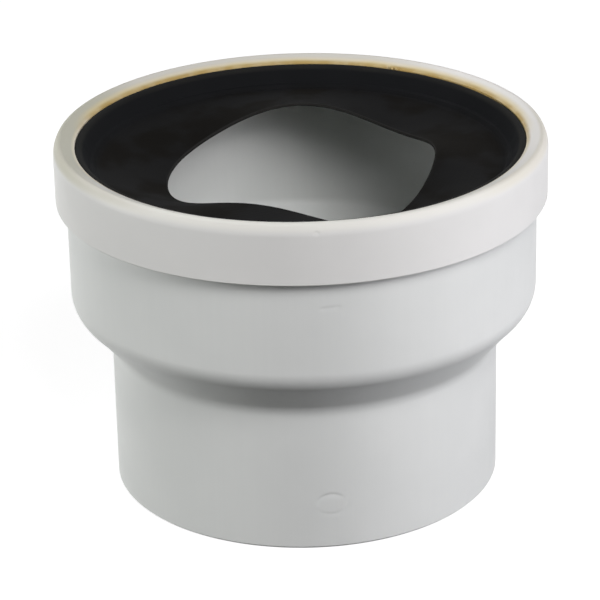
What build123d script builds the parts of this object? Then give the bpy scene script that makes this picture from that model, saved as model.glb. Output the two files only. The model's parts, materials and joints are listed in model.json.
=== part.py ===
from build123d import *
import os
from math import cos, hypot, pi, radians, sin, tan

# Straight pan connector. A white uPVC moulding has a spigot below and a wider socket above. A black
# rubber seal sits in the socket's mouth, under the lip of a collar that is cemented over the socket.
# Millimetres, +Z up. The origin is the centre of the spigot's foot, and Z is the axis of every piece.

# Spigot, which enters the soil pipe
SPIGOT_OD = 110.0
SPIGOT_WALL = 3.0
SPIGOT_LENGTH = 42.4
FOOT_CHAMFER = 0.6

# Shoulder: a cone from the spigot, then a rounded edge that turns under the socket's wall
SHOULDER_STEP = 11.05
SHOULDER_RISE = 15.6
SHOULDER_RADIUS = 8.0
SHOULDER_TURN = 52.0
SHOULDER_WALL = 3.0
CONE_FOOT_FILLET = 6.0
INNER_CONE_FILLET = 3.0

# Socket, which takes the pan's outlet
SOCKET_WALL = 3.0
SOCKET_LENGTH = 39.2

# Collar, a cap ring round the socket's mouth. Its lip slopes down inwards, and its top edge is a soft crown:
# an arc that leaves the upright face and turns a little, then a smaller arc that turns down to the lip.
CEMENT_GAP = 0.1
COLLAR_WALL = 2.9
COLLAR_SKIRT = 12.4
LIP_WIDTH = 6.05
LIP_EDGE_THICKNESS = 1.05
LIP_SLOPE = 24.0
CROWN_SIDE_RADIUS = 5.5
CROWN_SIDE_TURN = 32.0
CROWN_RADIUS = 1.4
COLLAR_FOOT_CHAMFER = 0.3

# Seal ring: a flange under the collar's lip, a rim inside the lip's edge, a plug in the socket's bore and a
# wall that slopes inwards
FLANGE_THICKNESS = 2.2
SEAL_GAP = 0.1
RIM_RISE = 0.8
RIM_WIDTH = 1.5
RIM_ROUND = 1.2
PLUG_DEPTH = 6.7
WALL_DROP = 4.5
WALL_RUN = 2.5
LEDGE_WIDTH = 0.8
LEDGE_DROP = 0.2
ROOT_STEP_RUN = 0.8
ROOT_STEP_DROP = 1.1
PLUG_TAPER = 1.2

# Diaphragm: a web from the ring's root to a round hole
HOLE_DIAMETER = 75.0
ROOT_THICKNESS = 2.0
EDGE_THICKNESS = 1.0
WEB_SINK = 2.25

# Waves of the hole's edge: its height round the hole is a sum of cosines. Each wave has its height
# from the middle to the crest, and the angle of one of its crests from +X.
TILT_HEIGHT = 2.4
TILT_ANGLE = 49.0
SADDLE_HEIGHT = 2.0
SADDLE_ANGLE = 69.0
TRIPLE_HEIGHT = 2.5
TRIPLE_ANGLE = -3.0
FOURFOLD_HEIGHT = 1.5
FOURFOLD_ANGLE = -8.5
EDGE_POINTS = 36

# Radii and heights that follow from the sizes above
spigot_r = SPIGOT_OD / 2
bore_r = spigot_r - SPIGOT_WALL
socket_r = spigot_r + SHOULDER_STEP
socket_bore_r = socket_r - SOCKET_WALL
socket_base = SPIGOT_LENGTH + SHOULDER_RISE
mouth = socket_base + SOCKET_LENGTH
flange_top = mouth + FLANGE_THICKNESS
rim_top = flange_top + RIM_RISE
collar_foot = mouth - COLLAR_SKIRT
collar_bore_r = socket_r + CEMENT_GAP
collar_r = collar_bore_r + COLLAR_WALL
lip_r = collar_r - LIP_WIDTH
hole_r = HOLE_DIAMETER / 2


def turned(edges, rounds=()):
    """One turn about Z of a closed outline of (radius, height) edges, with some of its corners rounded."""
    face = make_face(edges)
    for corner, radius in rounds:
        nearest = face.vertices().sort_by_distance((*corner, 0))[0]
        face = fillet(nearest, radius)
    return revolve(Plane.XZ * face, axis=Axis.Z)


def body():
    """Spigot, cone, rounded shoulder and socket, moulded in one piece with one wall all the way up."""
    arc_centre = (socket_r - SHOULDER_RADIUS, socket_base)
    shoulder = CenterArc(arc_centre, SHOULDER_RADIUS, 0, -SHOULDER_TURN)
    crease = shoulder @ 1
    slope = (crease.Y - SPIGOT_LENGTH) / (crease.X - spigot_r)

    def inner_cone_height(radius):
        return SPIGOT_LENGTH + (radius - spigot_r) * slope + SHOULDER_WALL * hypot(1, slope)

    throat = (bore_r, inner_cone_height(bore_r))
    shelf = (socket_bore_r, inner_cone_height(socket_bore_r))
    cone_foot = (spigot_r, SPIGOT_LENGTH)
    outside = Polyline((socket_r, mouth), (socket_r, socket_base))
    cone_and_inside = Polyline(
        (crease.X, crease.Y),
        cone_foot,
        (spigot_r, FOOT_CHAMFER),
        (spigot_r - FOOT_CHAMFER, 0),
        (bore_r + FOOT_CHAMFER, 0),
        (bore_r, FOOT_CHAMFER),
        throat,
        shelf,
        (socket_bore_r, mouth),
        (socket_r, mouth),
    )
    rounds = [
        (cone_foot, CONE_FOOT_FILLET),
        (throat, INNER_CONE_FILLET),
        (shelf, INNER_CONE_FILLET),
    ]
    return turned([*outside.edges(), shoulder, *cone_and_inside.edges()], rounds)


def retaining_collar():
    """Cap ring: a skirt over the socket, a soft crown and a lip over the seal's flange."""
    lip_edge_top = flange_top + LIP_EDGE_THICKNESS
    slope = radians(LIP_SLOPE)
    side_turn = radians(CROWN_SIDE_TURN)
    side_centre_r = collar_r - CROWN_SIDE_RADIUS
    centre_step = CROWN_SIDE_RADIUS - CROWN_RADIUS
    crown_centre_r = side_centre_r + centre_step * cos(side_turn)
    lip_end_r = crown_centre_r - CROWN_RADIUS * sin(slope)
    lip_end = lip_edge_top + (lip_end_r - lip_r) * tan(slope)
    crown_centre = lip_end - CROWN_RADIUS * cos(slope)
    side_centre = crown_centre - centre_step * sin(side_turn)
    side = CenterArc((side_centre_r, side_centre), CROWN_SIDE_RADIUS, 0, CROWN_SIDE_TURN)
    crown_turn = 90 + LIP_SLOPE - CROWN_SIDE_TURN
    crown = CenterArc((crown_centre_r, crown_centre), CROWN_RADIUS, CROWN_SIDE_TURN, crown_turn)
    lip_and_skirt = Polyline(
        (lip_end_r, lip_end),
        (lip_r, lip_edge_top),
        (lip_r, flange_top),
        (collar_bore_r, flange_top),
        (collar_bore_r, collar_foot),
        (collar_r - COLLAR_FOOT_CHAMFER, collar_foot),
        (collar_r, collar_foot + COLLAR_FOOT_CHAMFER),
        (collar_r, side_centre),
    )
    return turned([side, crown, *lip_and_skirt.edges()])


def edge_height(angle, middle):
    """Height of the hole's edge at an angle round the hole, in radians."""
    tilt = TILT_HEIGHT * cos(angle - radians(TILT_ANGLE))
    saddle = SADDLE_HEIGHT * cos(2 * (angle - radians(SADDLE_ANGLE)))
    triple = TRIPLE_HEIGHT * cos(3 * (angle - radians(TRIPLE_ANGLE)))
    fourfold = FOURFOLD_HEIGHT * cos(4 * (angle - radians(FOURFOLD_ANGLE)))
    return middle + tilt + saddle + triple + fourfold


def hole_edge(middle):
    """The wavy closed curve round the hole, with its middle height given."""
    angles = [2 * pi * step / EDGE_POINTS for step in range(EDGE_POINTS)]
    points = [(hole_r * cos(a), hole_r * sin(a), edge_height(a, middle)) for a in angles]
    return Edge.make_spline([Vector(*point) for point in points], periodic=True)


def seal():
    """Rubber ring with its flange, rim, plug and sloping wall, and the thin web with the wavy hole."""
    rim_r = lip_r - SEAL_GAP
    top_r = rim_r - RIM_WIDTH
    wall_foot_r = top_r - WALL_RUN
    ledge_r = wall_foot_r - LEDGE_WIDTH
    root_r = ledge_r - ROOT_STEP_RUN
    wall_foot = rim_top - WALL_DROP
    ledge = wall_foot - LEDGE_DROP
    root = ledge - ROOT_STEP_DROP
    root_under = root - ROOT_THICKNESS
    plug_r = socket_bore_r - SEAL_GAP
    plug_foot = mouth - PLUG_DEPTH
    outline = Polyline(
        (socket_r, mouth),
        (socket_r, flange_top),
        (rim_r, flange_top),
        (rim_r, rim_top),
        (top_r, rim_top),
        (wall_foot_r, wall_foot),
        (ledge_r, ledge),
        (root_r, root),
        (root_r, root_under),
        (root_r + PLUG_TAPER, plug_foot),
        (plug_r, plug_foot),
        (plug_r, mouth),
        close=True,
    )
    ring = turned(outline.edges(), [((top_r, rim_top), RIM_ROUND)])

    root_top_circle = Edge.make_circle(root_r, Plane((0, 0, root)))
    root_under_circle = Edge.make_circle(root_r, Plane((0, 0, root_under)))
    edge_top = hole_edge(root - WEB_SINK)
    edge_under = hole_edge(root - WEB_SINK - EDGE_THICKNESS)
    sides = [
        Face.make_surface_from_curves(root_top_circle, edge_top),
        Face.make_surface_from_curves(edge_top, edge_under),
        Face.make_surface_from_curves(edge_under, root_under_circle),
        Face.make_surface_from_curves(root_under_circle, root_top_circle),
    ]
    web = Solid(Shell(sides))
    return ring + web


pieces = {
    "body": body(),
    "retaining_collar": retaining_collar(),
    "seal": seal(),
}
os.makedirs("parts", exist_ok=True)
for name, piece in pieces.items():
    export_step(piece, f"parts/{name}.step")
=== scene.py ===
import bpy
import json
from math import atan2, ceil, cos, exp, hypot, pi, radians, sin, tan
from mathutils import Matrix, Vector


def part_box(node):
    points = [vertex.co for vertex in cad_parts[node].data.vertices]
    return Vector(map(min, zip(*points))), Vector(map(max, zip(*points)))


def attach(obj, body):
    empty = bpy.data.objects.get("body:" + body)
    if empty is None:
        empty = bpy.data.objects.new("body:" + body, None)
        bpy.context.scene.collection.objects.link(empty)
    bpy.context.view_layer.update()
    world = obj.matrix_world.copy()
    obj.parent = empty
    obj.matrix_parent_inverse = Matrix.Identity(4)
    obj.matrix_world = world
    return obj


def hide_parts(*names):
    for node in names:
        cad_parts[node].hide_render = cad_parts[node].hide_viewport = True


# Straight pan connector: a white uPVC moulding with a cemented collar and a black rubber seal in its mouth.
# Metres, +Z up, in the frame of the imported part.
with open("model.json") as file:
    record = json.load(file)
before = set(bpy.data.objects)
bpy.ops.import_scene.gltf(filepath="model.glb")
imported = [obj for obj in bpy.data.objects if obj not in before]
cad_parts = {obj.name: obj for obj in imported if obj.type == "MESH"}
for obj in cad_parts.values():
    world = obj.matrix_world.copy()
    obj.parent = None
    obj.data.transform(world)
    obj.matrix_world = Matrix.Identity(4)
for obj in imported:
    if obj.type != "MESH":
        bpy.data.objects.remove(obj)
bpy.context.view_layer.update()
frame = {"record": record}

MM = 0.001

# Sizes that the frame gives
mounts = {mount["name"]: mount for mount in frame["record"]["mounts"]}
_, body_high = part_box("body")
collar_low, collar_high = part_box("retaining_collar")
_, seal_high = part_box("seal")
spigot_r = mounts["spigot"]["dims"]["r_mm"] * MM
bore_r = mounts["outlet_bore"]["dims"]["r_mm"] * MM
socket_r = body_high.x
mouth = body_high.z
collar_r = collar_high.x
collar_foot = collar_low.z
collar_top = collar_high.z
rim_top = seal_high.z

# Body
SPIGOT_LENGTH = 42.4 * MM
FOOT_CHAMFER = 0.6 * MM
SHOULDER_RISE = 15.6 * MM
SHOULDER_RADIUS = 8.0 * MM
SHOULDER_TURN = radians(52)
WALL = 3.0 * MM
CONE_FOOT_FILLET = 6.0 * MM
INNER_CONE_FILLET = 3.0 * MM
EDGE_BREAK = 0.15 * MM

# Collar
CEMENT_GAP = 0.1 * MM
COLLAR_FOOT_CHAMFER = 0.3 * MM
LIP_WIDTH = 6.05 * MM
LIP_SLOPE = radians(24)
CROWN_SIDE_RADIUS = 5.5 * MM
CROWN_SIDE_TURN = radians(32)
CROWN_RADIUS = 1.4 * MM
COLLAR_EDGE_ROUND = 0.25 * MM

# Seal
SEAL_GAP = 0.1 * MM
RIM_RISE = 0.8 * MM
RIM_WIDTH = 1.5 * MM
RIM_ROUND = 1.2 * MM
PLUG_DEPTH = 6.7 * MM
PLUG_TAPER = 1.2 * MM
WALL_DROP = 4.5 * MM
WALL_RUN = 2.5 * MM
LEDGE_WIDTH = 0.8 * MM
LEDGE_DROP = 0.2 * MM
ROOT_STEP_RUN = 0.8 * MM
ROOT_STEP_DROP = 1.1 * MM
ROOT_THICKNESS = 2.0 * MM
HOLE_RADIUS = 37.5 * MM
EDGE_THICKNESS = 1.0 * MM
WEB_SINK = 2.25 * MM
RUBBER_EDGE_ROUND = 0.3 * MM
WEB_RINGS = 10

# Waves of the hole's edge: how many go round the hole, the height from middle to crest, a crest's angle
HOLE_WAVES = (
    (1, 2.4 * MM, radians(49)),
    (2, 2.0 * MM, radians(69)),
    (3, 2.5 * MM, radians(-3)),
    (4, 1.5 * MM, radians(-8.5)),
)

# Small marks in the white walls: place round the axis, height, size and depth
GATE_MARK_ANGLE = radians(-83.3)
GATE_MARK_HEIGHT = 13.75 * MM
GATE_MARK_RADIUS = 3.0 * MM
GATE_MARK_STRETCH = 1.4
GATE_MARK_LEAN = radians(112)
GATE_MARK_DEPTH = 0.22 * MM
SCRATCH_ANGLE = radians(-83.9)
SCRATCH_HEIGHT = 77.45 * MM
SCRATCH_HALF_LENGTH = 1.7 * MM
SCRATCH_SLOPE = 1 / 16
SCRATCH_DEPTH = 0.13 * MM
NICK_ANGLE = radians(-87)
NICK_HEIGHT = 99.4 * MM
NICK_RADIUS = 0.7 * MM
NICK_DEPTH = 0.20 * MM

# How a mark is pressed: the width of its drop and of its way back to the wall, the window of the wall that
# is cut into fine faces, how far from the wall's radius a face of it may lie, and the fineness
MARK_STEP = 0.13 * MM
MARK_FADE = 1.1 * MM
MARK_WINDOW = 4.6 * MM
NICK_WINDOW = 2.5 * NICK_RADIUS
MARK_REACH = WALL / 2
MARK_ROWS = 7
MARK_CUTS = 6

# Ragged tags at the lip's inner edge: place round the axis, how far inside the edge, height and size
LIP_TAGS = (
    (radians(63.9), 0.25 * MM, 100.40 * MM, 0.45 * MM),
    (radians(62.6), 0.15 * MM, 100.50 * MM, 0.60 * MM),
)
TAG_SEGMENTS = 16
TAG_RINGS = 10

# Chip in the lip's inner edge, beside the tags
CHIP_ANGLE = radians(65.4)
CHIP_HALF_WIDTH = 0.9 * MM
CHIP_DEPTH = 0.9 * MM
CHIP_RISE = 0.6 * MM
CHIP_WINDOW = 3.0 * MM
CHIP_REACH = LIP_WIDTH / 3

# Places that two pieces share
lip_r = collar_r - LIP_WIDTH
flange_top = rim_top - RIM_RISE

# Colours, in linear values
MOULDING_WHITE = (0.767, 0.786, 0.762)
MOULDING_SHADE = (0.743, 0.763, 0.740)
MOULDING_LINE = (0.720, 0.740, 0.720)
COLLAR_WHITE = (0.800, 0.802, 0.776)
COLLAR_SHADE = (0.776, 0.778, 0.753)
CEMENT_CREAM = (0.75, 0.645, 0.376)
CEMENT_OCHRE = (0.51, 0.365, 0.135)
RUBBER_BLACK = (0.0102, 0.0108, 0.0118)
RUBBER_BROWN = (0.0074, 0.0068, 0.0060)
# Painted highlight along the top of the rubber's rim
RUBBER_RIM_HIGHLIGHT = (0.0205, 0.0205, 0.0195)
# Painted light that lifts the shade on the cut edge of the hole
RUBBER_EDGE_LIGHT = (0.0250, 0.0245, 0.0235)

# Skin of the white plastic. A noise has a scale and a detail, a range is where the noise counts as nothing
# and as all, and roughness goes from the plain colour to the mottle's.
MOTTLE_NOISE = (42, 3)
MOTTLE_RANGE = (0.32, 0.68)
DRAW_LINE_NOISE = (700, 2)
DRAW_LINE_STRETCH = (1, 1, 0.015)
DRAW_LINE_RANGE = (0.35, 0.65)
DRAW_LINE_SHARE = 0.12
GRAIN_NOISE = (1600, 2)
GRAIN_DEPTH = 0.008 * MM
PLASTIC_ROUGHNESS = (0.38, 0.46)
PLASTIC_SHEEN = 0.09

# Skin of the rubber
RUBBER_PATCH_NOISE = (55, 3)
RUBBER_PATCH_RANGE = (0.35, 0.65)
RUBBER_GRAIN_NOISE = (900, 3)
RUBBER_GRAIN_DEPTH = 0.03 * MM
FLOW_RING_PITCH = 1.1 * MM
FLOW_RING_SHARE = 0.15
BROWN_SHARES = (0.4, 1.0)
# Shares of the painted highlight on the rubber's rim, in patches
RIM_HIGHLIGHT_SHARES = (0.6, 1.0)
RUBBER_ROUGHNESS = (0.62, 0.74)
RUBBER_SHEEN = 0.02

# Old cement: its noises, and the sides of the mouth where it lies, each as an angle round the axis and the
# cosines between which it fades in
FILM_NOISE = (120, 2)
FILM_RANGE = (0.30, 0.65)
FILM_SHARES = (0.75, 1.0)
STREAK_NOISE = (150, 3)
STREAK_RANGE = (0.34, 0.62)
STREAK_SHARES = (0.6, 1.0)
FILM_SIDE = (radians(85), 0.0, 0.35)
OCHRE_SIDE = (radians(80), -0.2, 0.35)
THICK_SIDE = (radians(46), 0.90, 0.98)
EDGE_LINE_SHARE = 0.4

# Fades, each with the distance where a finish begins and where it is full. On the collar's lip they go
# outwards from its inner edge.
OUTWARDS = 1
FILM_FADE = (3.0 * MM, 0.8 * MM)
EDGE_LINE_FADE = (1.2 * MM, 0.4 * MM)
OCHRE_FADE = (1.5 * MM, 0.3 * MM)
CROWN_TINT_FADE = 1.0 * MM

# Fades that go down from the top of the collar or of the rubber's rim
DOWNWARDS = -1
CROWN_FADE = (3.0 * MM, 1.0 * MM)
# Painted highlight along the top of the rubber's rim
RIM_HIGHLIGHT_FADE = (1.4 * MM, 0.4 * MM)
RIM_TOP_FADE = (0.5 * MM, 0.2 * MM)

# Fades on the rubber: two inwards from the lip's edge, and one outwards from the hole's, for painted light
# on the hole's cut edge
INWARDS = -1
WEB_FADE = (4.0 * MM, 8.0 * MM)
RIM_FADE = (0.9 * MM, 0.4 * MM)
EDGE_LIGHT_FADE = (0.6 * MM, 0.1 * MM)

# Tints and painted light on the collar's lip and crown: cream and yellow-grey tints at 270, -14 and 108
# degrees, a painted highlight that lifts the right of the lip at 20 degrees, and painted shade that darkens
# its left at 176
# and 205 degrees. Each: angle round the axis, cosines between which it fades in, how far from the lip's
# edge it begins, colour and share
CROWN_TINTS_AND_PAINTED_LIGHT = (
    (radians(270), -0.2, 0.5, 1.5 * MM, (0.82, 0.81, 0.73), 0.50),
    (radians(20), 0.50, 0.90, 0.3 * MM, (0.90, 0.885, 0.85), 0.90),
    (radians(-14), 0.80, 0.97, 3.2 * MM, (0.74, 0.715, 0.62), 0.75),
    (radians(108), 0.45, 0.85, 1.5 * MM, (0.72, 0.70, 0.63), 0.80),
    (radians(176), 0.74, 0.95, 0.0, (0.55, 0.545, 0.445), 0.90),
    (radians(205), 0.84, 0.98, 3.2 * MM, (0.60, 0.585, 0.50), 0.60),
)

# Fineness of the meshes
PEN_SIZE = 2 * MM
TURN_STEPS = 256
ARC_STEP = radians(6)
FEWEST_ARC_STEPS = 2
MANY_SIDES = 5
CREASE_ANGLE = radians(9)
MERGE_DISTANCE = 0.002 * MM

# Camera
CAMERA_PLACE = Vector((0, -0.78537, 0.394925))
CAMERA_PITCH = radians(23.659)
CAMERA_YAW = radians(-0.080)
CAMERA_ROLL = radians(1.25)
CAMERA_LENS = 180.0
CAMERA_SENSOR = 36.0

# Studio
LAMP_AIM = Vector((0, 0, 0.05))
FLOOR_SIZE = 8
FLOOR_DROP = 0.1 * MM
FLOOR_BOUNCE = (0.01, 0.01, 0.01)
FLOOR_SHADOWED = (0.4, 0.4, 0.4)
FLOOR_GLOW = 0.85

# Lamps: name, degrees round to the right from the camera's side, degrees up, distance, size, power and tint
LAMPS = (
    ("left_softbox", -85, 5, 1.2, 0.5, 10.5, (1, 1, 1)),
    ("left_front_softbox", -65, 25, 1.2, 0.5, 0.9, (1, 1, 1)),
    ("key_softbox", 22, 45, 1.2, 0.5, 7.1, (1.0, 0.99, 1.0)),
    ("right_softbox", 45, 27, 1.2, 0.5, 5.0, (1.0, 0.975, 1.01)),
    ("low_right_card", 72, -6, 0.3, 0.16, 0.38, (0.94, 0.925, 1.0)),
    ("back_softbox", -150, 45, 1.2, 0.5, 2.6, (1, 1, 1)),
)


def start_pen(name, point):
    """A new mesh object with one vertex, where the pen stands."""
    bpy.ops.object.select_all(action="DESELECT")
    bpy.ops.mesh.primitive_plane_add(size=PEN_SIZE, location=(0, 0, 0))
    piece = bpy.context.object
    piece.name = name
    bpy.ops.object.mode_set(mode="EDIT")
    bpy.ops.mesh.select_all(action="SELECT")
    bpy.ops.mesh.merge(type="CENTER")
    bpy.ops.transform.translate(value=(point.x, 0, point.y))
    return piece


def draw_line(start, end):
    """Extrudes the pen's vertex in a straight line."""
    move = end - start
    bpy.ops.mesh.extrude_vertices_move(TRANSFORM_OT_translate={"value": (move.x, 0, move.y)})


def draw_arc(centre, turn):
    """Spins the pen's vertex about a centre; a positive turn goes from the radius towards the height."""
    bpy.ops.mesh.spin(
        steps=max(FEWEST_ARC_STEPS, ceil(abs(turn) / ARC_STEP)),
        angle=turn,
        center=(centre.x, 0, centre.y),
        axis=(0, 1, 0),
    )


def corner_arc(before, corner, after, radius):
    """A corner's round: where it begins, its centre, its turn and where it ends."""
    way_in = (corner - before).normalized()
    way_out = (after - corner).normalized()
    turn = atan2(way_in.x * way_out.y - way_in.y * way_out.x, way_in.dot(way_out))
    reach = radius * tan(abs(turn) / 2)
    first = corner - way_in * reach
    last = corner + way_out * reach
    side = Vector((-way_in.y, way_in.x)) * (radius if turn > 0 else -radius)
    return first, first + side, turn, last


def turned_piece(name, corners):
    """Draws a closed section of (radius, height, round) corners and spins it one turn about Z."""
    points = [Vector((radius, height)) for radius, height, _ in corners]
    start = (points[-1] + points[0]) / 2
    piece = start_pen(name, start)
    pen = start
    for index, (_, _, radius) in enumerate(corners):
        corner = points[index]
        if radius == 0:
            draw_line(pen, corner)
            pen = corner
            continue
        before = points[index - 1]
        after = points[(index + 1) % len(points)]
        first, centre, turn, last = corner_arc(before, corner, after, radius)
        draw_line(pen, first)
        draw_arc(centre, turn)
        pen = last
    draw_line(pen, start)
    bpy.ops.mesh.select_all(action="SELECT")
    bpy.ops.mesh.remove_doubles(threshold=MERGE_DISTANCE)
    bpy.ops.mesh.spin(steps=TURN_STEPS, angle=2 * pi, center=(0, 0, 0), axis=(0, 0, 1))
    bpy.ops.mesh.select_all(action="SELECT")
    bpy.ops.mesh.remove_doubles(threshold=MERGE_DISTANCE)
    bpy.ops.mesh.normals_make_consistent(inside=False)
    bpy.ops.object.mode_set(mode="OBJECT")
    return piece


def wall_rows(radius, middle):
    """Extra points down an upright wall, so that a mark there gets small faces."""
    step = 2 * MARK_WINDOW / MARK_ROWS
    return [(radius, middle + MARK_WINDOW - row * step, 0) for row in range(MARK_ROWS + 1)]


def press_mark(piece, angle, height, window, wall_r, reach, depth_at):
    """Cuts a window of a wall into fine faces and presses a shape into it.

    The window takes the faces whose middles lie within the reach of the wall's radius. depth_at takes the
    distance along the wall and the distance up it, both from the window's middle."""
    def place(point):
        return wall_r * (atan2(point.y, point.x) - angle), point.z - height

    bpy.ops.object.mode_set(mode="EDIT")
    bpy.ops.mesh.select_all(action="DESELECT")
    bpy.ops.mesh.select_mode(type="FACE")
    bpy.ops.object.mode_set(mode="OBJECT")
    for face in piece.data.polygons:
        along, up = place(face.center)
        at_wall = abs(hypot(face.center.x, face.center.y) - wall_r) < reach
        face.select = at_wall and abs(along) < window and abs(up) < window
    bpy.ops.object.mode_set(mode="EDIT")
    bpy.ops.mesh.subdivide(number_cuts=MARK_CUTS)
    bpy.ops.mesh.select_mode(type="VERT")
    bpy.ops.object.mode_set(mode="OBJECT")
    for vertex in piece.data.vertices:
        if vertex.select:
            share = 1 - depth_at(*place(vertex.co)) / wall_r
            vertex.co.x *= share
            vertex.co.y *= share


def sunk_edge(past):
    """Share of a mark's depth at a distance past its edge: a quick drop, then a slow way back."""
    return exp(-((max(0, past) / MARK_FADE) ** 2)) / (1 + exp(-past / MARK_STEP))


def gate_mark(along, up):
    """Two arcs of a small flattened ring: a sunk edge above, and a softer one below."""
    across = along / GATE_MARK_STRETCH
    inside = GATE_MARK_RADIUS - hypot(across, up)
    lean = cos(atan2(up, across) - GATE_MARK_LEAN)
    if lean > 0:
        return GATE_MARK_DEPTH * lean * sunk_edge(inside)
    return -GATE_MARK_DEPTH / 2 * lean * sunk_edge(-inside)


def scratch(along, up):
    """A short line, a little higher at its right end."""
    end = max(0, abs(along) - SCRATCH_HALF_LENGTH)
    return SCRATCH_DEPTH * sunk_edge(along * SCRATCH_SLOPE - up) * exp(-((end / MARK_FADE) ** 2))


def nick(along, up):
    """A small arch, sunk at its top and level with the wall at its foot."""
    share = max(0, 1 + up / NICK_RADIUS) / 2
    return NICK_DEPTH * share * sunk_edge(NICK_RADIUS - hypot(along, up))


def lip_chip(along, up):
    """A bite out of the lip's inner edge, which runs out as the lip rises."""
    across = exp(-((along / CHIP_HALF_WIDTH) ** 2))
    return -CHIP_DEPTH * across * max(0, 1 - max(0, up) / CHIP_RISE)


def finish_piece(piece, node, material):
    """Cuts up many-sided faces, shades smooth up to the creases, and gives a finish and a place."""
    cut_up = piece.modifiers.new("Cut up many-sided faces", "TRIANGULATE")
    cut_up.min_vertices = MANY_SIDES
    cut_up.ngon_method = "BEAUTY"
    bpy.ops.object.modifier_apply(modifier=cut_up.name)
    bpy.ops.object.shade_smooth_by_angle(angle=CREASE_ANGLE)
    weighted = piece.modifiers.new("Even shading", "WEIGHTED_NORMAL")
    weighted.keep_sharp = True
    bpy.ops.object.modifier_apply(modifier=weighted.name)
    piece.data.materials.clear()
    piece.data.materials.append(material)
    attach(piece, "root")
    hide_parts(node)


def body_moulding(material):
    """Spigot, cone, rounded shoulder and socket in one wall."""
    socket_base = SPIGOT_LENGTH + SHOULDER_RISE
    reach = SHOULDER_RADIUS * tan(SHOULDER_TURN / 2)
    shoulder = socket_base - reach
    crease_r = socket_r - reach * sin(SHOULDER_TURN)
    crease = shoulder - reach * cos(SHOULDER_TURN)
    slope = (crease - SPIGOT_LENGTH) / (crease_r - spigot_r)
    socket_bore_r = socket_r - WALL

    def inner_cone_height(radius):
        return SPIGOT_LENGTH + (radius - spigot_r) * slope + WALL * hypot(1, slope)

    piece = turned_piece("body_moulding", [
        (socket_r, mouth, EDGE_BREAK),
        *wall_rows(socket_r, SCRATCH_HEIGHT),
        (socket_r, shoulder, SHOULDER_RADIUS),
        (crease_r, crease, 0),
        (spigot_r, SPIGOT_LENGTH, CONE_FOOT_FILLET),
        *wall_rows(spigot_r, GATE_MARK_HEIGHT),
        (spigot_r, FOOT_CHAMFER, EDGE_BREAK),
        (spigot_r - FOOT_CHAMFER, 0, EDGE_BREAK),
        (bore_r + FOOT_CHAMFER, 0, EDGE_BREAK),
        (bore_r, FOOT_CHAMFER, EDGE_BREAK),
        (bore_r, inner_cone_height(bore_r), INNER_CONE_FILLET),
        (socket_bore_r, inner_cone_height(socket_bore_r), INNER_CONE_FILLET),
        (socket_bore_r, mouth, EDGE_BREAK),
    ])
    gate_window = GATE_MARK_STRETCH * MARK_WINDOW
    press_mark(piece, GATE_MARK_ANGLE, GATE_MARK_HEIGHT, gate_window, spigot_r, MARK_REACH, gate_mark)
    press_mark(piece, SCRATCH_ANGLE, SCRATCH_HEIGHT, MARK_WINDOW, socket_r, MARK_REACH, scratch)
    finish_piece(piece, "body", material)


def collar_ring(material):
    """Cap ring with a soft crown and a lip that slopes down to the seal."""
    collar_bore_r = socket_r + CEMENT_GAP
    crown_turn = pi / 2 + LIP_SLOPE - CROWN_SIDE_TURN
    side_reach = CROWN_SIDE_RADIUS * tan(CROWN_SIDE_TURN / 2)
    crown_reach = CROWN_RADIUS * tan(crown_turn / 2)
    side_start = collar_top - CROWN_RADIUS - (CROWN_SIDE_RADIUS - CROWN_RADIUS) * sin(CROWN_SIDE_TURN)
    side_corner = side_start + side_reach
    crown_corner_r = collar_r - (side_reach + crown_reach) * sin(CROWN_SIDE_TURN)
    crown_corner = side_corner + (side_reach + crown_reach) * cos(CROWN_SIDE_TURN)
    lip_edge_top = crown_corner - (crown_corner_r - lip_r) * tan(LIP_SLOPE)
    piece = turned_piece("collar_ring", [
        (collar_bore_r, collar_foot, 0),
        (collar_bore_r, flange_top, 0),
        (lip_r, flange_top, 0),
        (lip_r, lip_edge_top, COLLAR_EDGE_ROUND),
        (crown_corner_r, crown_corner, CROWN_RADIUS),
        (collar_r, side_corner, CROWN_SIDE_RADIUS),
        (collar_r, collar_foot + COLLAR_FOOT_CHAMFER, EDGE_BREAK),
        (collar_r - COLLAR_FOOT_CHAMFER, collar_foot, EDGE_BREAK),
    ])
    press_mark(piece, NICK_ANGLE, NICK_HEIGHT, NICK_WINDOW, collar_r, MARK_REACH, nick)
    press_mark(piece, CHIP_ANGLE, lip_edge_top, CHIP_WINDOW, lip_r, CHIP_REACH, lip_chip)
    bpy.ops.object.mode_set(mode="EDIT")
    for angle, inset, height, size in LIP_TAGS:
        tag_r = lip_r - inset
        place = (tag_r * cos(angle), tag_r * sin(angle), height)
        bpy.ops.mesh.primitive_uv_sphere_add(
            segments=TAG_SEGMENTS,
            ring_count=TAG_RINGS,
            radius=size,
            location=place,
        )
    bpy.ops.object.mode_set(mode="OBJECT")
    finish_piece(piece, "retaining_collar", material)


def hole_wave(angle):
    """How far the hole's edge stands above its middle height at an angle round the mouth."""
    return sum(height * cos(count * (angle - crest)) for count, height, crest in HOLE_WAVES)


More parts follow.
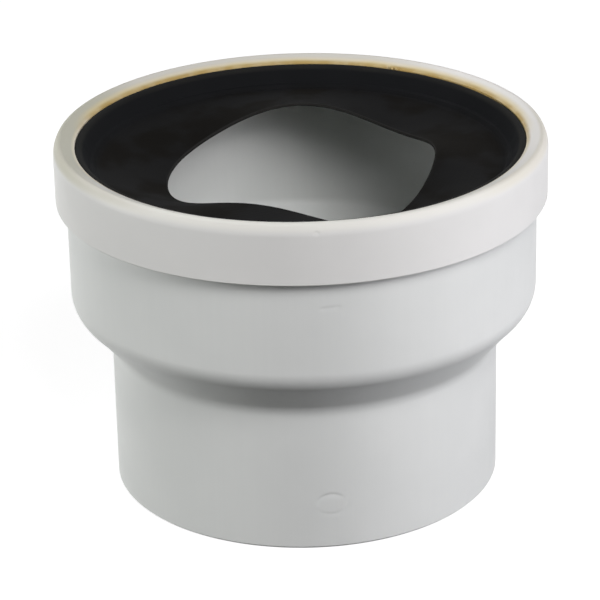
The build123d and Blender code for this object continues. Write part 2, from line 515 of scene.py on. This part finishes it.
def mouth_seal(material):
    """Flange, rim, plug, sloping wall with its ledge, and the thin web that waves more towards its hole."""
    socket_bore_r = socket_r - WALL
    plug_r = socket_bore_r - SEAL_GAP
    plug_foot = mouth - PLUG_DEPTH
    rim_r = lip_r - SEAL_GAP
    top_r = rim_r - RIM_WIDTH
    wall_foot_r = top_r - WALL_RUN
    wall_foot = rim_top - WALL_DROP
    ledge_r = wall_foot_r - LEDGE_WIDTH
    ledge = wall_foot - LEDGE_DROP
    root_r = ledge_r - ROOT_STEP_RUN
    root = ledge - ROOT_STEP_DROP
    root_under = root - ROOT_THICKNESS
    edge_top = root - WEB_SINK
    edge_under = edge_top - EDGE_THICKNESS
    shares = [ring / WEB_RINGS for ring in range(1, WEB_RINGS)]

    def web_point(share, start, end):
        return root_r + (HOLE_RADIUS - root_r) * share, start + (end - start) * share, 0

    web_top = [web_point(share, root, edge_top) for share in shares]
    web_under = [web_point(share, root_under, edge_under) for share in reversed(shares)]
    piece = turned_piece("mouth_seal", [
        (socket_r, mouth, 0),
        (socket_r, flange_top, 0),
        (rim_r, flange_top, 0),
        (rim_r, rim_top, RUBBER_EDGE_ROUND),
        (top_r, rim_top, RIM_ROUND),
        (wall_foot_r, wall_foot, RUBBER_EDGE_ROUND),
        (ledge_r, ledge, RUBBER_EDGE_ROUND),
        (root_r, root, RUBBER_EDGE_ROUND),
        *web_top,
        (HOLE_RADIUS, edge_top, RUBBER_EDGE_ROUND),
        (HOLE_RADIUS, edge_under, RUBBER_EDGE_ROUND),
        *web_under,
        (root_r, root_under, RUBBER_EDGE_ROUND),
        (root_r + PLUG_TAPER, plug_foot, RUBBER_EDGE_ROUND),
        (plug_r, plug_foot, RUBBER_EDGE_ROUND),
        (plug_r, mouth, 0),
    ])
    for vertex in piece.data.vertices:
        radius = hypot(vertex.co.x, vertex.co.y)
        if radius < root_r:
            share = (root_r - radius) / (root_r - HOLE_RADIUS)
            vertex.co.z += share * hole_wave(atan2(vertex.co.y, vertex.co.x))
    finish_piece(piece, "seal", material)


def connect(tree, value, socket):
    """Sets a socket to a plain value, or links another node's output to it."""
    if isinstance(value, bpy.types.NodeSocket):
        tree.links.new(value, socket)
    elif socket.type == "RGBA":
        socket.default_value = (*value, 1)
    else:
        socket.default_value = value


def add_node(tree, kind, **inputs):
    """A new node with some inputs given by name; an underscore in a name stands for a space."""
    made = tree.nodes.new(kind)
    for name, value in inputs.items():
        connect(tree, value, made.inputs[name.replace("_", " ")])
    return made


def maths(tree, operation, first, second=0.0):
    """The result of one sum on one or two values."""
    made = tree.nodes.new("ShaderNodeMath")
    made.operation = operation
    connect(tree, first, made.inputs[0])
    connect(tree, second, made.inputs[1])
    return made.outputs[0]


def vectors(tree, operation, first, second=None):
    """A node that does one sum on one or two vectors."""
    made = tree.nodes.new("ShaderNodeVectorMath")
    made.operation = operation
    connect(tree, first, made.inputs[0])
    if second is not None:
        connect(tree, second, made.inputs[1])
    return made


def rise(tree, value, low, high, bottom=0.0, top=1.0):
    """From the bottom at the low value to the top at the high one, smooth between; low above high falls."""
    made = add_node(
        tree,
        "ShaderNodeMapRange",
        Value=value,
        From_Min=low,
        From_Max=high,
        To_Min=bottom,
        To_Max=top,
    )
    made.interpolation_type = "SMOOTHSTEP"
    return made.outputs["Result"]


def fade(tree, value, edge, way, distances, top=1.0):
    """0 at the first distance from an edge and the top at the second, counted one way from the edge."""
    begin, full = distances
    return rise(tree, value, edge + way * begin, edge + way * full, 0.0, top)


def blend(tree, share, first, second):
    """A colour between two; the share is that of the second."""
    made = tree.nodes.new("ShaderNodeMix")
    made.data_type = "RGBA"
    factor, colour_a, colour_b = made.inputs[0], made.inputs[6], made.inputs[7]
    connect(tree, share, factor)
    connect(tree, first, colour_a)
    connect(tree, second, colour_b)
    return made.outputs[2]


def clouds(tree, scale, detail, stretch=(1, 1, 1)):
    """Cloudy noise in the part's own metres, from 0 to 1, stretched where a factor is small."""
    place = add_node(tree, "ShaderNodeTexCoord").outputs["Object"]
    spread = vectors(tree, "MULTIPLY", place, stretch).outputs["Vector"]
    return add_node(tree, "ShaderNodeTexNoise", Vector=spread, Scale=scale, Detail=detail).outputs["Fac"]


def start_group(name, *outputs):
    """An empty shared group with its outputs named."""
    tree = bpy.data.node_groups.new(name, "ShaderNodeTree")
    for output in outputs:
        tree.interface.new_socket(output, in_out="OUTPUT", socket_type="NodeSocketFloat")
    return tree


def close_group(tree, *values):
    """Links the values to the group's outputs, in their order."""
    out = tree.nodes.new("NodeGroupOutput")
    for value, socket in zip(values, out.inputs):
        connect(tree, value, socket)
    return tree


def use_group(tree, group):
    """The outputs of a shared group inside another tree."""
    made = tree.nodes.new("ShaderNodeGroup")
    made.node_tree = group
    return made.outputs


def ring_place_group():
    """Where a point lies: its distance from the axis, its height, and how far it faces right and back."""
    tree = start_group("ring_place", "Radius", "Height", "Right", "Back")
    place = add_node(tree, "ShaderNodeTexCoord").outputs["Object"]
    height = add_node(tree, "ShaderNodeSeparateXYZ", Vector=place).outputs["Z"]
    flat = vectors(tree, "MULTIPLY", place, (1, 1, 0)).outputs["Vector"]
    radius = vectors(tree, "LENGTH", flat).outputs["Value"]
    way = vectors(tree, "NORMALIZE", flat).outputs["Vector"]
    facing = add_node(tree, "ShaderNodeSeparateXYZ", Vector=way).outputs
    return close_group(tree, radius, height, facing["X"], facing["Y"])


def moulded_skin_group():
    """Moulded plastic: slow mottling, fine lines along the draw of the mould, and a fine grain."""
    tree = start_group("moulded_skin", "Mottle", "Draw lines", "Grain")
    mottle = rise(tree, clouds(tree, *MOTTLE_NOISE), *MOTTLE_RANGE)
    lines = rise(tree, clouds(tree, *DRAW_LINE_NOISE, DRAW_LINE_STRETCH), *DRAW_LINE_RANGE)
    return close_group(tree, mottle, lines, clouds(tree, *GRAIN_NOISE))


def toward(tree, place, angle, low, high):
    """1 where a point lies towards an angle round the axis, 0 far from it; low and high are cosines."""
    right = maths(tree, "MULTIPLY", place["Right"], cos(angle))
    back = maths(tree, "MULTIPLY", place["Back"], sin(angle))
    return rise(tree, maths(tree, "ADD", right, back), low, high)


def cement_smear_group(ring_place):
    """Old cement round the back of the mouth: a cream film, an ochre edge and a thicker stretch."""
    tree = start_group("cement_smear", "Cream", "Ochre", "Thick")
    place = use_group(tree, ring_place)
    patches = rise(tree, clouds(tree, *FILM_NOISE), *FILM_RANGE, *FILM_SHARES)
    streaks = rise(tree, clouds(tree, *STREAK_NOISE), *STREAK_RANGE, *STREAK_SHARES)
    cream = maths(tree, "MULTIPLY", toward(tree, place, *FILM_SIDE), patches)
    ochre = maths(tree, "MULTIPLY", toward(tree, place, *OCHRE_SIDE), streaks)
    thick = maths(tree, "MULTIPLY", toward(tree, place, *THICK_SIDE), streaks)
    return close_group(tree, cream, ochre, thick)


def start_material(name):
    """A material's tree and its Principled node."""
    material = bpy.data.materials.new(name)
    material.use_nodes = True
    return material, material.node_tree, material.node_tree.nodes["Principled BSDF"]


def fine_bump(tree, shader, height, depth):
    """Links a fine relief, whose depth is in metres, to a shader."""
    bump = add_node(tree, "ShaderNodeBump", Height=height, Distance=depth, Strength=1.0)
    connect(tree, bump.outputs["Normal"], shader.inputs["Normal"])


def plastic_finish(tree, shader, marks, colour):
    """Gives a shader its colour, and the eggshell sheen and fine grain of the moulded plastic."""
    connect(tree, colour, shader.inputs["Base Color"])
    connect(tree, rise(tree, marks["Mottle"], 0, 1, *PLASTIC_ROUGHNESS), shader.inputs["Roughness"])
    connect(tree, PLASTIC_SHEEN, shader.inputs["Specular IOR Level"])
    fine_bump(tree, shader, marks["Grain"], GRAIN_DEPTH)


def white_moulding(skin):
    """Cool white uPVC with a faint mottle and draw lines."""
    material, tree, shader = start_material("white_moulding")
    marks = use_group(tree, skin)
    mottled = blend(tree, marks["Mottle"], MOULDING_WHITE, MOULDING_SHADE)
    lined = maths(tree, "MULTIPLY", marks["Draw lines"], DRAW_LINE_SHARE)
    plastic_finish(tree, shader, marks, blend(tree, lined, mottled, MOULDING_LINE))
    return material


def warm_white_collar(skin, smear, ring_place):
    """Warmer white uPVC, with tints, a painted highlight and painted shade round the crown, and old cement
    on the lip's slope.
    """
    material, tree, shader = start_material("warm_white_collar")
    marks = use_group(tree, skin)
    cement = use_group(tree, smear)
    place = use_group(tree, ring_place)
    colour = blend(tree, marks["Mottle"], COLLAR_WHITE, COLLAR_SHADE)
    crown = fade(tree, place["Height"], collar_top, DOWNWARDS, CROWN_FADE)
    # Cream tints, a painted highlight on the right of the lip and painted shade on its left, faded in round
    # the crown
    for angle, low, high, start, tint, share in CROWN_TINTS_AND_PAINTED_LIGHT:
        distances = (start, start + CROWN_TINT_FADE)
        outer = fade(tree, place["Radius"], lip_r, OUTWARDS, distances, share)
        reach = maths(tree, "MULTIPLY", toward(tree, place, angle, low, high), crown)
        colour = blend(tree, maths(tree, "MULTIPLY", reach, outer), colour, tint)
    film = fade(tree, place["Radius"], lip_r, OUTWARDS, FILM_FADE)
    line = fade(tree, place["Radius"], lip_r, OUTWARDS, EDGE_LINE_FADE, EDGE_LINE_SHARE)
    smeared = maths(tree, "MAXIMUM", maths(tree, "MULTIPLY", cement["Cream"], film), line)
    colour = blend(tree, smeared, colour, CEMENT_CREAM)
    edge = fade(tree, place["Radius"], lip_r, OUTWARDS, OCHRE_FADE)
    streaks = maths(tree, "MULTIPLY", cement["Ochre"], edge)
    plastic_finish(tree, shader, marks, blend(tree, streaks, colour, CEMENT_OCHRE))
    return material


def black_rubber(smear, ring_place):
    """Dull black rubber: a browner web, a patchy painted highlight along the top of the rim, painted light
    on the hole's cut edge, and a little cement on the rim.
    """
    material, tree, shader = start_material("black_rubber")
    place = use_group(tree, ring_place)
    cement = use_group(tree, smear)
    patches = rise(tree, clouds(tree, *RUBBER_PATCH_NOISE), *RUBBER_PATCH_RANGE)
    web = fade(tree, place["Radius"], lip_r, INWARDS, WEB_FADE)
    brown = maths(tree, "MULTIPLY", web, rise(tree, patches, 0, 1, *BROWN_SHARES))
    colour = blend(tree, brown, RUBBER_BLACK, RUBBER_BROWN)
    # Painted highlight: paler, in patches, along the top of the rubber's rim where its rounded edge catches
    # the light
    rim_highlight = fade(tree, place["Height"], rim_top, DOWNWARDS, RIM_HIGHLIGHT_FADE)
    rim_highlight = maths(tree, "MULTIPLY", rim_highlight, rise(tree, patches, 0, 1, *RIM_HIGHLIGHT_SHARES))
    colour = blend(tree, rim_highlight, colour, RUBBER_RIM_HIGHLIGHT)
    # Painted light: the hole's cut edge made paler to take away its shade
    edge_light = fade(tree, place["Radius"], HOLE_RADIUS, OUTWARDS, EDGE_LIGHT_FADE)
    colour = blend(tree, edge_light, colour, RUBBER_EDGE_LIGHT)
    rim = fade(tree, place["Radius"], lip_r, INWARDS, RIM_FADE)
    top = fade(tree, place["Height"], rim_top, DOWNWARDS, RIM_TOP_FADE)
    smeared = maths(tree, "MULTIPLY", maths(tree, "MULTIPLY", rim, top), cement["Thick"])
    connect(tree, blend(tree, smeared, colour, CEMENT_OCHRE), shader.inputs["Base Color"])
    connect(tree, rise(tree, patches, 0, 1, *RUBBER_ROUGHNESS), shader.inputs["Roughness"])
    connect(tree, RUBBER_SHEEN, shader.inputs["Specular IOR Level"])
    rings = maths(tree, "SINE", maths(tree, "MULTIPLY", place["Radius"], 2 * pi / FLOW_RING_PITCH))
    faint_rings = maths(tree, "MULTIPLY", rings, FLOW_RING_SHARE)
    relief = maths(tree, "ADD", faint_rings, clouds(tree, *RUBBER_GRAIN_NOISE))
    fine_bump(tree, shader, relief, RUBBER_GRAIN_DEPTH)
    return material


def studio_camera():
    """Long lens, tilted down at the mouth as in the photograph."""
    data = bpy.data.cameras.new("camera")
    data.lens = CAMERA_LENS
    data.sensor_width = CAMERA_SENSOR
    camera = bpy.data.objects.new("camera", data)
    bpy.context.scene.collection.objects.link(camera)
    yaw = Matrix.Rotation(-CAMERA_YAW, 4, "Z")
    tilt = Matrix.Rotation(pi / 2 - CAMERA_PITCH, 4, "X")
    roll = Matrix.Rotation(-CAMERA_ROLL, 4, "Z")
    camera.matrix_world = Matrix.Translation(CAMERA_PLACE) @ yaw @ tilt @ roll
    bpy.context.scene.camera = camera


def shown_rays(tree):
    """1 for rays that show the surroundings: the camera's, reflected ones and ones through clear things."""
    path = tree.nodes.new("ShaderNodeLightPath").outputs
    mirrored = maths(tree, "MAXIMUM", path["Is Glossy Ray"], path["Is Transmission Ray"])
    return maths(tree, "MAXIMUM", path["Is Camera Ray"], mirrored)


def studio_floor():
    """Pale floor: white where it is seen, with the part's shadow, and nearly dark as a source of light."""
    bpy.ops.object.select_all(action="DESELECT")
    bpy.ops.mesh.primitive_plane_add(size=FLOOR_SIZE, location=(0, 0, -FLOOR_DROP))
    floor = bpy.context.object
    floor.name = "floor"
    material = bpy.data.materials.new("pale_floor")
    material.use_nodes = True
    tree = material.node_tree
    tree.nodes.clear()
    bounce = add_node(tree, "ShaderNodeBsdfDiffuse", Color=FLOOR_BOUNCE)
    lit = add_node(tree, "ShaderNodeBsdfDiffuse", Color=FLOOR_SHADOWED)
    glow = add_node(tree, "ShaderNodeEmission", Strength=FLOOR_GLOW)
    seen = tree.nodes.new("ShaderNodeAddShader")
    connect(tree, lit.outputs[0], seen.inputs[0])
    connect(tree, glow.outputs[0], seen.inputs[1])
    mix = tree.nodes.new("ShaderNodeMixShader")
    connect(tree, shown_rays(tree), mix.inputs[0])
    connect(tree, bounce.outputs[0], mix.inputs[1])
    connect(tree, seen.outputs[0], mix.inputs[2])
    add_node(tree, "ShaderNodeOutputMaterial", Surface=mix.outputs[0])
    floor.data.materials.append(material)


def studio_world():
    """White where it is seen, and dark as a source of light."""
    world = bpy.data.worlds.new("studio")
    bpy.context.scene.world = world
    world.use_nodes = True
    tree = world.node_tree
    background = tree.nodes["Background"]
    connect(tree, (1, 1, 1), background.inputs["Color"])
    connect(tree, shown_rays(tree), background.inputs["Strength"])


def softbox(name, azimuth, elevation, distance, size, power, tint):
    """A square lamp aimed at the middle of the part."""
    data = bpy.data.lights.new(name, "AREA")
    data.shape = "SQUARE"
    data.size = size
    data.energy = power
    data.color = tint
    lamp = bpy.data.objects.new(name, data)
    bpy.context.scene.collection.objects.link(lamp)
    round_angle = radians(azimuth)
    up_angle = radians(elevation)
    level = cos(up_angle)
    away = Vector((sin(round_angle) * level, -cos(round_angle) * level, sin(up_angle)))
    lamp.location = LAMP_AIM + away * distance
    lamp.rotation_euler = away.to_track_quat("Z", "Y").to_euler()


bpy.context.scene.view_settings.view_transform = "Standard"
ring_place = ring_place_group()
moulded_skin = moulded_skin_group()
cement_smear = cement_smear_group(ring_place)
body_moulding(white_moulding(moulded_skin))
collar_ring(warm_white_collar(moulded_skin, cement_smear, ring_place))
mouth_seal(black_rubber(cement_smear, ring_place))
studio_camera()
studio_floor()
studio_world()
for lamp in LAMPS:
    softbox(*lamp)
